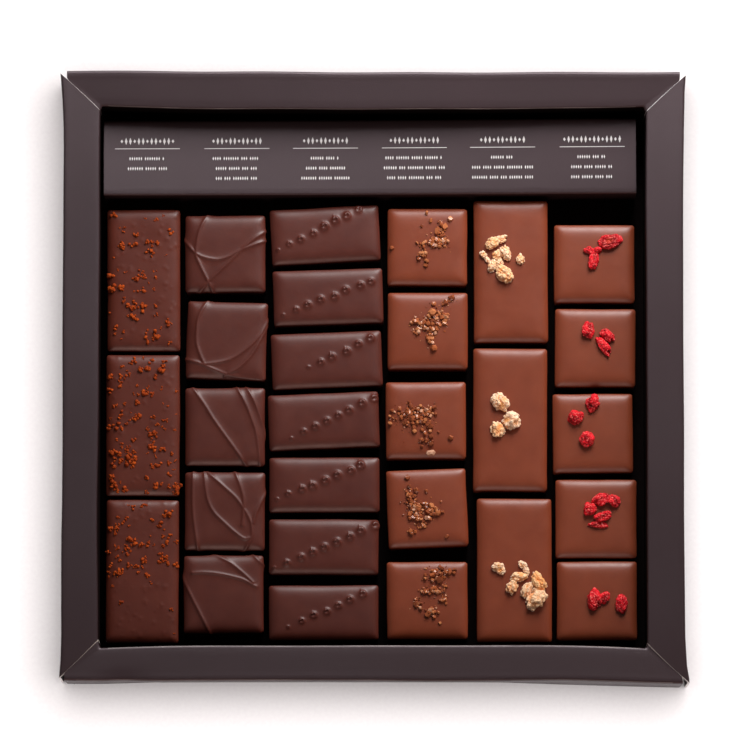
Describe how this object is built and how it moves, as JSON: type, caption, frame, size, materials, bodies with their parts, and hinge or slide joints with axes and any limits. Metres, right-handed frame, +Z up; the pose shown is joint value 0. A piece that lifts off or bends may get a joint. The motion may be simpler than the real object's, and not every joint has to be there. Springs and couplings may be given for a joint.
{
  "type": "box of chocolates",
  "caption": "Square folded card tray with broad mitred walls, a card ledge at its back and columns of dipped chocolates with ribs, beads, flakes, crystals, nut and fruit bits.",
  "frame": {"origin": "middle of the underside of the tray", "axes": "+Z up, +Y towards the back of the tray with the ledge, +X to the right"},
  "size_m": [0.196, 0.1924, 0.025],
  "materials": {
    "card": "matt coated dark brown card with pale raw edges",
    "printed_card": "matt coated dark brown card with fine white print",
    "flaked_chocolate": "satin dipped dark milk chocolate",
    "dark_chocolate": "satin dipped dark chocolate",
    "milk_chocolate": "satin dipped milk chocolate",
    "flakes": "brittle orange flakes",
    "crystals": "clear amber sugar and salt grains",
    "almond": "chopped sugared almond",
    "raspberry": "freeze-dried raspberry"
  },
  "bodies": {
    "root": {"tray": "card", "ledge_card": "printed_card", "flake_bar_1": "flaked_chocolate", "flake_bar_2": "flaked_chocolate", "flake_bar_3": "flaked_chocolate", "ribbed_square_1": "dark_chocolate", "ribbed_square_2": "dark_chocolate", "ribbed_square_3": "dark_chocolate", "ribbed_square_4": "dark_chocolate", "ribbed_square_5": "dark_chocolate", "beaded_bar_1": "dark_chocolate", "beaded_bar_2": "dark_chocolate", "beaded_bar_3": "dark_chocolate", "beaded_bar_4": "dark_chocolate", "beaded_bar_5": "dark_chocolate", "beaded_bar_6": "dark_chocolate", "beaded_bar_7": "dark_chocolate", "crystal_square_1": "milk_chocolate", "crystal_square_2": "milk_chocolate", "crystal_square_3": "milk_chocolate", "crystal_square_4": "milk_chocolate", "crystal_square_5": "milk_chocolate", "almond_bar_1": "milk_chocolate", "almond_bar_2": "milk_chocolate", "almond_bar_3": "milk_chocolate", "raspberry_square_1": "milk_chocolate", "raspberry_square_2": "milk_chocolate", "raspberry_square_3": "milk_chocolate", "raspberry_square_4": "milk_chocolate", "raspberry_square_5": "milk_chocolate"}
  },
  "joints": []
}
